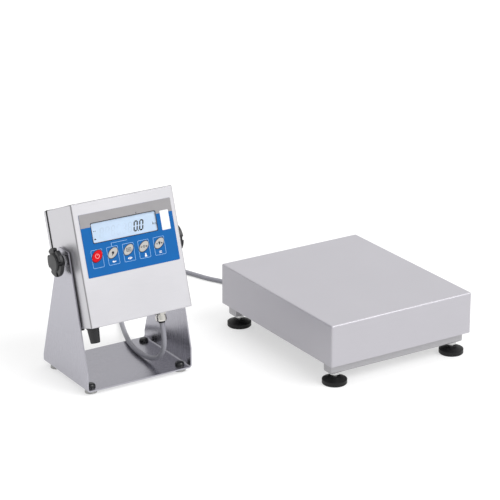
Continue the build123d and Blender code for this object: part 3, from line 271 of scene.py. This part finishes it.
pan_steel = brushed_steel("pan_steel", rgb(196, 194, 200), 0.40, metallic=0.4)
frame_steel = brushed_steel("frame_steel", rgb(182, 181, 184), 0.42, (0.03, 1, 1), 0.6)
stand_steel = brushed_steel("stand_steel", rgb(180, 179, 187), 0.26, (1, 1, 0.02), 0.95)
head_steel = brushed_steel("head_steel", rgb(212, 211, 215), 0.40, (0.03, 1, 1), 0.85)


# Painted shade along the head's front folds and top fold: where the darker line lies and its colour
FOLD_SHADE_SIDE = (0.0808, 0.0816)
FOLD_SHADE_DEPTH = (0.0024, 0.0016)
FOLD_SHADE_TOP = (0.0021, 0.0013)
FOLD_SHADE_COLOUR = rgb(156, 155, 158)


def paint_fold_shade(material):
    """Painted shade: a darker line along the head's vertical front folds and along its top fold."""
    tree = material.node_tree
    shader = tree.nodes["Principled BSDF"]
    colour = shader.inputs["Base Color"].links[0].from_socket
    place = tree.nodes.new("ShaderNodeTexCoord")
    offset = tree.nodes.new("ShaderNodeVectorMath")
    offset.operation = "SUBTRACT"
    offset.inputs[1].default_value = FACE_ORIGIN
    tree.links.new(place.outputs["Object"], offset.inputs[0])

    def distance(direction, from_min, from_max):
        """Ramp from 0 to 1 between two distances along a direction."""
        dot = tree.nodes.new("ShaderNodeVectorMath")
        dot.operation = "DOT_PRODUCT"
        dot.inputs[1].default_value = direction
        tree.links.new(offset.outputs["Vector"], dot.inputs[0])
        size = tree.nodes.new("ShaderNodeMath")
        size.operation = "ABSOLUTE"
        tree.links.new(dot.outputs["Value"], size.inputs[0])
        ramp = tree.nodes.new("ShaderNodeMapRange")
        ramp.inputs["From Min"].default_value = from_min
        ramp.inputs["From Max"].default_value = from_max
        tree.links.new(size.outputs[0], ramp.inputs["Value"])
        return ramp.outputs["Result"]

    at_side = distance((1, 0, 0), *FOLD_SHADE_SIDE)
    near_front = distance(OUT, *FOLD_SHADE_DEPTH)
    over_top = distance(UP, *FOLD_SHADE_TOP)
    fold = tree.nodes.new("ShaderNodeMath")
    fold.operation = "MULTIPLY"
    tree.links.new(at_side, fold.inputs[0])
    tree.links.new(near_front, fold.inputs[1])
    either = tree.nodes.new("ShaderNodeMath")
    either.operation = "MAXIMUM"
    tree.links.new(fold.outputs[0], either.inputs[0])
    tree.links.new(over_top, either.inputs[1])
    mix = tree.nodes.new("ShaderNodeMix")
    mix.data_type = "RGBA"
    mix.inputs["B"].default_value = FOLD_SHADE_COLOUR
    tree.links.new(either.outputs[0], mix.inputs["Factor"])
    tree.links.new(colour, mix.inputs["A"])
    tree.links.new(mix.outputs["Result"], shader.inputs["Base Color"])


paint_fold_shade(head_steel)
fastener_steel = brushed_steel("fastener_steel", rgb(200, 200, 200), 0.28, (1, 1, 1))
cell_aluminium = brushed_steel("cell_aluminium", rgb(205, 207, 210), 0.40, (1, 0.03, 1))
nickel = brushed_steel("nickel", rgb(222, 220, 214), 0.16, (1, 1, 1), 1.0, 0.03)
black_plastic = moulded("black_plastic", rgb(30, 30, 33), 0.34)
foot_rubber = moulded("foot_rubber", rgb(16, 16, 17), 0.5, specular=0.35)
cap_rubber = moulded("cap_rubber", rgb(24, 25, 28), 0.26)
gasket_rubber = moulded("gasket_rubber", rgb(20, 20, 22), 0.6, specular=0.3)
pale_rubber = moulded("pale_rubber", rgb(196, 196, 194), 0.35)
overlay_film = moulded("overlay_film", rgb(8, 98, 170), 0.5, 3200, 0.00002, tint=(0.97, 1.04), specular=0.2)
band_film = moulded("band_film", rgb(158, 156, 158), 0.5, 3200, 0.00002, tint=(0.97, 1.03), specular=0.2)
white_print = moulded("white_print", rgb(246, 247, 250), 0.5, 3200, 0.00001, tint=(0.98, 1.0), specular=0.2)
pale_print = moulded("pale_print", rgb(160, 200, 238), 0.5, 3200, 0.00001, tint=(0.97, 1.03), specular=0.2)
# Dark ink, also used for the painted shade round the keys
dark_print_and_shade = moulded("dark_print_and_shade", rgb(34, 38, 46), 0.5, 3200, 0.00001, specular=0.2)
key_grey = moulded("key_grey", rgb(190, 188, 185), 0.5, 2600, 0.00002, tint=(0.97, 1.02), specular=0.3)
key_red = moulded("key_red", rgb(214, 8, 26), 0.45, 2600, 0.00002, tint=(0.95, 1.05), specular=0.15)
pink_print = moulded("pink_print", rgb(246, 160, 160), 0.5, 3200, 0.00001, tint=(0.97, 1.03), specular=0.2)
cable_sheath = moulded("cable_sheath", rgb(150, 150, 158), 0.42, 1400, 0.00006, tint=(0.94, 1.05))
board_green = moulded("board_green", rgb(30, 96, 60), 0.4)
battery_grey = moulded("battery_grey", rgb(70, 70, 74), 0.5)
display_panel = moulded("display_panel", rgb(186, 202, 220), 0.5, 3200, 0.00001, tint=(0.98, 1.01))
segment_ink = moulded("segment_ink", rgb(8, 9, 12), 0.5, 3200, 0.00001, specular=0.1)
ghost_ink = moulded("ghost_ink", rgb(188, 204, 222), 0.5, 3200, 0.00001)


def glowing(material, colour, strength):
    """Give a material a faint light of its own."""
    shader = material.node_tree.nodes["Principled BSDF"]
    shader.inputs["Emission Color"].default_value = colour
    shader.inputs["Emission Strength"].default_value = strength


# Display glow: partly the display's backlight, partly painted light that makes up for the light the window
# glass keeps off it
DISPLAY_LIGHT = rgb(206, 224, 242)
glowing(display_panel, DISPLAY_LIGHT, 0.2)
glowing(ghost_ink, DISPLAY_LIGHT, 0.12)


def window_glass():
    """Clear window: a thin gloss coat over what lies behind it."""
    material, tree, shader = new_material("window_glass", (0.97, 0.985, 1, 1), 0.05)
    shader.inputs["Transmission Weight"].default_value = 1.0
    shader.inputs["IOR"].default_value = 1.12
    tree.links.new(ranged(tree, noise(tree, 40), 0.03, 0.08), shader.inputs["Roughness"])
    return material


window_clear = window_glass()

NODE_MATERIALS = {
    pan_steel: ["weighing_pan"],
    frame_steel: [
        "front_cross_tube", "rear_cross_tube", "centre_beam", "support_spine", "support_front_bar",
        "support_rear_bar", "battery_shelf", "tube_end_caps",
    ],
    stand_steel: ["stand_bracket"],
    head_steel: ["housing_shell", "rear_cover"],
    fastener_steel: [
        "foot_inserts", "lock_nuts", "cell_spacers", "load_cell_screws", "overload_stops", "cover_screws",
        "board_spacers", "pivot_inserts", "left_knob_stud", "right_knob_stud", "left_knob_washer",
        "right_knob_washer",
    ],
    cell_aluminium: ["load_cell"],
    nickel: ["gland_body", "gland_nut"],
    black_plastic: [
        "left_knob", "right_knob", "connector_socket", "vent_plug",
        "key_switches", "friction_washers",
    ],
    foot_rubber: ["pan_pads", "cable_grommet", "gland_seal"],
    cap_rubber: ["foot_caps", "connector_cap"],
    pale_rubber: ["stand_feet"],
    overlay_film: ["keypad_overlay"],
    display_panel: ["display_module"],
    board_green: ["main_board"],
    battery_grey: ["battery"],
    key_red: ["power_key"],
    key_grey: ["function_key", "print_key", "zero_key", "tare_key"],
    cable_sheath: ["sensor_cable_drop", "sensor_cable_run"],
}
FEET = ("front_left", "front_right", "rear_left", "rear_right")
NODE_MATERIALS[foot_rubber] += [f"foot_pad_{foot}" for foot in FEET]
NODE_MATERIALS[fastener_steel] += [f"foot_stem_{foot}" for foot in FEET]
for material, nodes in NODE_MATERIALS.items():
    for node in nodes:
        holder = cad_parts[node]
        holder.data.materials.clear()
        holder.data.materials.append(material)


# Sensor cable, on the same route as its CAD tubes
GLAND_MOUTH = (-0.1400, 0.0259, 0.0827)
CABLE_ROUTE = [
    GLAND_MOUTH,
    (-0.1400, 0.0201, 0.0646),
    (-0.1403, 0.0193, 0.0465),
    (-0.1408, 0.0295, 0.0285),
    (-0.1415, 0.049, 0.0178),
    (-0.1423, 0.074, 0.0132),
    (-0.1418, 0.101, 0.0128),
    (-0.137, 0.129, 0.0132),
    (-0.1275, 0.157, 0.013),
    (-0.114, 0.187, 0.0065),
    (-0.097, 0.227, 0.004),
    (-0.076, 0.275, 0.004),
    (-0.053, 0.317, 0.004),
    (-0.0275, 0.354, 0.004),
    (-0.001, 0.390, 0.004),
    (0.032, 0.404, 0.004),
    (0.066, 0.399, 0.004),
    (0.0925, 0.377, 0.004),
    (0.104, 0.345, 0.004),
    (0.114, 0.315, 0.004),
    (0.128, 0.2915, 0.004),
    (0.1395, 0.246, 0.004),
    (0.151, 0.210, 0.009),
    (0.1595, 0.181, 0.021),
    (0.162, 0.159, 0.0295),
    (0.162, 0.1415, 0.0295),
]
CABLE_DIAMETER = 0.0075


def spline_points(route):
    """Points along the smooth spline that has the route as its control points."""
    curve = bpy.data.curves.new("route", "CURVE")
    curve.dimensions = "3D"
    curve.resolution_u = 8
    spline = curve.splines.new("NURBS")
    spline.points.add(len(route) - 1)
    for point, place in zip(spline.points, route):
        point.co = (*place, 1)
    spline.order_u = 3
    spline.use_endpoint_u = True
    holder = bpy.data.objects.new("route", curve)
    bpy.context.scene.collection.objects.link(holder)
    mesh = bpy.data.meshes.new_from_object(holder)
    points = [v.co.copy() for v in mesh.vertices]
    bpy.data.objects.remove(holder)
    return points


cable_path = spline_points(CABLE_ROUTE)
cable_mesh = tube_mesh(cable_path, CABLE_DIAMETER / 2)
cable = add_mesh("sensor_cable", cable_mesh, None, cable_sheath, 60)
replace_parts(cable, "sensor_cable_drop", "sensor_cable_run")
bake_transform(cable)


# Rubber gasket that folds over the shell's rear edge and the cover's front edge
HEAD_WIDTH = 165.0
HEAD_HEIGHT = 178.0
REAR_TOP = 6.5
LIP_PROUD = 0.35
LIP_DEPTH = 83.2
LIP_LENGTH = 4.2

lip_height = HEAD_HEIGHT - REAR_TOP
lip_middle = -(HEAD_HEIGHT + REAR_TOP) / 2
lip = flat_mesh(
    [
        rounded(0, lip_middle, HEAD_WIDTH + 2 * LIP_PROUD, lip_height + 2 * LIP_PROUD, 1.8),
        rounded(0, lip_middle, HEAD_WIDTH - 13, lip_height - 13, 1.8),
    ],
    LIP_LENGTH,
    face_matrix(out=-LIP_DEPTH),
)
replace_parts(add_mesh("gasket_lip", lip, "head", gasket_rubber), "cover_gasket")


# Window pane over the display, thinner than its CAD solid so that the segments have room behind it
PRINT = 0.04
OVERLAY_OUT = 0.6
WINDOW_ACROSS = -4.5
WINDOW_DOWN = 45.9
WINDOW_WIDTH = 104.0
WINDOW_HEIGHT = 27.8
DISPLAY_OUT = -1.5

PANE_PLAY = 0.3
pane_outline = rounded(WINDOW_ACROSS, -WINDOW_DOWN, WINDOW_WIDTH - PANE_PLAY, WINDOW_HEIGHT - PANE_PLAY, 1.8)
pane = flat_mesh([pane_outline], 1.0, face_matrix(out=-0.5))
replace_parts(add_mesh("window_pane", pane, "head", window_clear), "display_window")


# Printed front panel: the overlay film is blue, and everything else is printed on it, save the dark rings
# round the keys, which are painted shade
OVERLAY_WIDTH = 148.8
OVERLAY_ACROSS = 1.1
OVERLAY_TOP = 17.0
OVERLAY_RADIUS = 1.5
BAND_BOTTOM = 36.5
KEY_DOWN = 78.6
KEY_ACROSS = {"power": -54.7, "function": -29.6, "print": -4.1, "zero": 20.9, "tare": 46.2}
KEY_OVAL = (9.2, 5.5, radians(38))
POWER_KEY_OVAL = (9.7, 6.6, radians(43))
KEY_OUT = 1.3


def face_mark(name, loops, material, layer=0, body="head", out=OVERLAY_OUT, origin=(0, 0)):
    """Ink or painted shade on the head's face; loops are in millimetres across and up from the origin's place
    on the face.
    """
    mesh = flat_mesh(loops, PRINT, face_matrix(origin[0], origin[1], out + layer * PRINT))
    return add_mesh(name, mesh, body, material)


def oval(across, down, shape, margin, points=48):
    """Slanted oval round a key."""
    long_radius, short_radius, slant = shape
    outline = []
    for x, y in circle(0, 0, 1, points):
        along = x * (long_radius + margin)
        beside = y * (short_radius + margin)
        right = along * cos(slant) - beside * sin(slant)
        up = along * sin(slant) + beside * cos(slant)
        outline.append((across + right, -down + up))
    return outline


def grey_band():
    """Grey field along the overlay's top, with the window's upper part cut out of it."""
    west = OVERLAY_ACROSS - OVERLAY_WIDTH / 2
    east = OVERLAY_ACROSS + OVERLAY_WIDTH / 2
    left = WINDOW_ACROSS - WINDOW_WIDTH / 2 - 0.6
    right = WINDOW_ACROSS + WINDOW_WIDTH / 2 + 0.6
    window_top = -WINDOW_DOWN + WINDOW_HEIGHT / 2 + 0.6
    outline = [(east, -BAND_BOTTOM)]
    outline += circle(east - OVERLAY_RADIUS, -OVERLAY_TOP - OVERLAY_RADIUS, OVERLAY_RADIUS, 7, 0, pi / 2)
    outline += circle(west + OVERLAY_RADIUS, -OVERLAY_TOP - OVERLAY_RADIUS, OVERLAY_RADIUS, 7, pi / 2, pi / 2)
    outline += [(west, -BAND_BOTTOM), (left, -BAND_BOTTOM), (left, window_top), (right, window_top)]
    outline += [(right, -BAND_BOTTOM)]
    return outline


face_mark("print_grey_band", [grey_band()], band_film)
face_mark(
    "print_window_frame",
    [
        rounded(WINDOW_ACROSS, -WINDOW_DOWN, WINDOW_WIDTH + 2.2, WINDOW_HEIGHT + 2.2, 2.6),
        rounded(WINDOW_ACROSS, -WINDOW_DOWN, WINDOW_WIDTH, WINDOW_HEIGHT, 1.8),
    ],
    dark_print_and_shade,
    1,
)
face_mark("print_label_field", [rounded(62.0, -47.3, 13.9, 28.2, 0.8)], white_print, 1)
face_mark("print_centre_tick", [bar(17.4, -27.6, 17.4, -31.4, 0.7)], dark_print_and_shade, 1)

key_frames = []
key_rim_shades = []
for key, across in KEY_ACROSS.items():
    shape = POWER_KEY_OVAL if key == "power" else KEY_OVAL
    key_frames.append(rounded(across, -82.3, 18.0, 26.2, 1.6))
    key_frames.append(rounded(across, -82.3, 17.0, 25.2, 1.2))
    key_rim_shades.append(oval(across, KEY_DOWN, shape, 0.95))
    key_rim_shades.append(oval(across, KEY_DOWN, shape, 0.36))
face_mark("print_key_frames", key_frames, pale_print)
# Dark rings round the keys: painted shade where each raised key meets the film
face_mark("key_rim_painted_shade", key_rim_shades, dark_print_and_shade, 1)
face_mark(
    "print_key_bracket",
    [
        bar(-29.6, -68.6, -29.6, -64.6, 0.6),
        bar(-29.9, -64.4, -3.8, -64.4, 0.6),
        bar(-4.1, -64.6, -4.1, -68.6, 0.6),
    ],
    pale_print,
)

# White signs below the keys
face_mark(
    "print_small_signs",
    [
        [(-32.6, -90.9), (-30.2, -89.2), (-30.2, -92.6)],
        bar(-30.4, -90.9, -26.4, -90.9, 1.1),
        [(-7.6, -90.9), (-5.2, -89.2), (-5.2, -92.6)],
        rounded(-3.9, -90.9, 1.5, 3.4, 0.2),
        [(0.0, -90.9), (-2.4, -89.2), (-2.4, -92.6)],
        [(20.0, -93.6), (24.0, -93.6), (23.1, -90.4), (20.9, -90.4)],
        circle(22.0, -89.6, 1.1, 16),
        bar(44.2, -90.2, 48.2, -90.2, 0.9),
        bar(44.2, -92.2, 48.2, -92.2, 0.9),
    ],
    white_print,
)


# Signs on the keys; each rides on its own key
def arrow(x, direction, length=2.6):
    """Small arrow along a row, its tip at x."""
    tail = x - direction * length
    neck = x - direction * 1.3
    return [bar(tail, 0, neck + direction * 0.1, 0, 0.6), [(x, 0), (neck, 1.1), (neck, -1.1)]]


SIGN_SCALE = 1.3
KEY_SIGNS = {
    "power": [arc_band(0, 0, 2.0, 2.7, radians(118), radians(304)), bar(0, 0.6, 0, 3.1, 0.7)],
    "function": [circle(0, 0.3, 1.5, 20), bar(-0.3, -1.0, -1.5, -2.6, 0.8)],
    "print": [
        rounded(0, 0, 6.0, 4.2, 0.7),
        rounded(0, 0, 5.0, 3.2, 0.4),
        bar(-1.8, 0.6, 1.8, 0.6, 0.55),
        bar(-1.8, -0.6, 1.8, -0.6, 0.55),
    ],
    "zero": arrow(-1.7, 1) + arrow(1.7, -1) + [arc_band(0, 0, 0.75, 1.35, 0, 2 * pi - 0.01, 24)],
    "tare": arrow(-1.4, 1) + arrow(1.4, -1) + [bar(0, -1.7, 0, 1.5, 0.6), bar(-1.2, 1.5, 1.2, 1.5, 0.6)],
}
for key, sign in KEY_SIGNS.items():
    loops = [[(x * SIGN_SCALE, y * SIGN_SCALE) for x, y in loop] for loop in sign]
    ink = pink_print if key == "power" else dark_print_and_shade
    face_mark(f"sign_{key}", loops, ink, 0, f"{key}_key", KEY_OUT, (KEY_ACROSS[key], KEY_DOWN))


# Seven-segment digits behind the window
DIGIT_HEIGHT = 15.4
DIGIT_WIDTH = 6.9
DIGIT_PITCH = 9.2
DIGIT_SLANT = 0.21
DIGIT_ACROSS = 9.4
DIGIT_DOWN = 55.4
STROKE = 1.95
SEGMENT_GAP = 0.2
GHOST_DIGITS = 6


def slanted(x, y, loop):
    """Loop moved to a digit's lower left corner and slanted to the right."""
    return [(x + px + py * DIGIT_SLANT, y + py) for px, py in loop]


def segment(name):
    """One of a digit's seven segments, as a six-cornered stroke."""
    low, middle, high = STROKE / 2, DIGIT_HEIGHT / 2, DIGIT_HEIGHT - STROKE / 2
    left, right = STROKE / 2, DIGIT_WIDTH - STROKE / 2
    half = STROKE / 2
    ends = {
        "bottom": ((left, low), (right, low)),
        "middle": ((left, middle), (right, middle)),
        "top": ((left, high), (right, high)),
        "lower_left": ((left, low), (left, middle)),
        "upper_left": ((left, middle), (left, high)),
        "lower_right": ((right, low), (right, middle)),
        "upper_right": ((right, middle), (right, high)),
    }
    (x0, y0), (x1, y1) = ends[name]
    if y0 == y1:
        x0, x1 = x0 + SEGMENT_GAP, x1 - SEGMENT_GAP
        above = [(x0, y0), (x0 + half, y0 + half), (x1 - half, y0 + half)]
        return above + [(x1, y0), (x1 - half, y0 - half), (x0 + half, y0 - half)]
    y0, y1 = y0 + SEGMENT_GAP, y1 - SEGMENT_GAP
    beside = [(x0, y0), (x0 + half, y0 + half), (x0 + half, y1 - half)]
    return beside + [(x0, y1), (x0 - half, y1 - half), (x0 - half, y0 + half)]


RING = ("bottom", "top", "lower_left", "upper_left", "lower_right", "upper_right")
zeros = [slanted(DIGIT_ACROSS + i * DIGIT_PITCH, -DIGIT_DOWN, segment(part)) for i in (0, 1) for part in RING]
zeros.append(slanted(DIGIT_ACROSS + DIGIT_PITCH - 1.15, -DIGIT_DOWN, circle(0, 0.75, 0.85, 16)))
face_mark("display_digits", zeros, segment_ink, 1, out=DISPLAY_OUT)

ghosts = []
for i in range(-GHOST_DIGITS, 0):
    for part in RING + ("middle",):
        ghosts.append(slanted(DIGIT_ACROSS + i * DIGIT_PITCH, -DIGIT_DOWN, segment(part)))
for i in (0, 1):
    ghosts.append(slanted(DIGIT_ACROSS + i * DIGIT_PITCH, -DIGIT_DOWN, segment("middle")))
face_mark("display_ghost_digits", ghosts, ghost_ink, out=DISPLAY_OUT)

# Small marks at the display's ends: level sign, zero sign and unit corner
face_mark(
    "display_marks",
    [
        [(-53.6, -43.6), (-52.2, -42.8), (-52.2, -44.4)],
        [(-49.6, -43.6), (-51.0, -42.8), (-51.0, -44.4)],
        bar(-54.2, -55.6, -50.6, -55.6, 0.6),
        [(-54.0, -55.3), (-50.8, -55.3), (-52.4, -53.4)],
        bar(42.0, -50.6, 42.0, -46.6, 0.6),
        bar(44.2, -48.4, 42.4, -49.4, 0.5),
        bar(44.3, -50.6, 42.4, -49.2, 0.5),
        arc_band(46.6, -49.6, 0.8, 1.3, 0, 2 * pi - 0.01, 20),
        bar(46.6, -36.6, 48.4, -36.6, 0.5),
    ],
    segment_ink,
    1,
    out=DISPLAY_OUT,
)


# Lamp and world: soft light from the front right and above, and a dimmer left and rear
SUN_STRENGTH = 1.55
SUN_FROM = Vector((0.30, -0.62, 0.72))
WORLD_DIM = 0.38
WORLD_BRIGHT = 0.95
BRIGHT_SIDE = (0.55, -0.35, 0.76)

sun_data = bpy.data.lights.new("soft_sun", "SUN")
sun_data.energy = SUN_STRENGTH
sun_data.angle = radians(38)
sun = bpy.data.objects.new("soft_sun", sun_data)
sun.rotation_euler = (-SUN_FROM).to_track_quat("-Z", "Y").to_euler()
bpy.context.scene.collection.objects.link(sun)

world = bpy.data.worlds.new("studio")
bpy.context.scene.world = world
world.use_nodes = True
sky = world.node_tree
sky_place = sky.nodes.new("ShaderNodeTexCoord")
sky_dot = sky.nodes.new("ShaderNodeVectorMath")
sky_dot.operation = "DOT_PRODUCT"
sky_dot.inputs[1].default_value = BRIGHT_SIDE
sky_level = sky.nodes.new("ShaderNodeMapRange")
sky_level.inputs["From Min"].default_value = -0.9
sky_level.inputs["From Max"].default_value = 0.9
sky_level.inputs["To Min"].default_value = WORLD_DIM
sky_level.inputs["To Max"].default_value = WORLD_BRIGHT
sky.links.new(sky_place.outputs["Generated"], sky_dot.inputs[0])
sky.links.new(sky_dot.outputs["Value"], sky_level.inputs["Value"])
sky.nodes["Background"].inputs["Color"].default_value = (1, 1, 1, 1)
sky.links.new(sky_level.outputs["Result"], sky.nodes["Background"].inputs["Strength"])


# Plain pale floor: seen directly, mirrored or through the window it glows up to white
HALF_FLOOR = 8
FLOOR_COLOUR = (0.5, 0.5, 0.5, 1)
FLOOR_GLOW = 0.56

floor_mesh = bpy.data.meshes.new("floor")
floor_mesh.from_pydata(
    [(x * HALF_FLOOR, y * HALF_FLOOR, 0) for x, y in ((-1, -1), (1, -1), (1, 1), (-1, 1))], [], [(0, 1, 2, 3)]
)
floor = bpy.data.objects.new("floor", floor_mesh)
bpy.context.scene.collection.objects.link(floor)
floor_material, floor_tree, floor_shader = new_material("floor", FLOOR_COLOUR, 1.0)
floor_shader.inputs["Specular IOR Level"].default_value = 0
floor_shader.inputs["Emission Color"].default_value = (1, 1, 1, 1)
floor_rays = floor_tree.nodes.new("ShaderNodeLightPath")
seen = floor_rays.outputs["Is Camera Ray"]
for other in ("Is Glossy Ray", "Is Transmission Ray"):
    either = floor_tree.nodes.new("ShaderNodeMath")
    either.operation = "ADD"
    either.use_clamp = True
    floor_tree.links.new(seen, either.inputs[0])
    floor_tree.links.new(floor_rays.outputs[other], either.inputs[1])
    seen = either.outputs[0]
glow = floor_tree.nodes.new("ShaderNodeMath")
glow.operation = "MULTIPLY"
glow.inputs[1].default_value = FLOOR_GLOW
floor_tree.links.new(seen, glow.inputs[0])
floor_tree.links.new(glow.outputs[0], floor_shader.inputs["Emission Strength"])
floor_mesh.materials.append(floor_material)
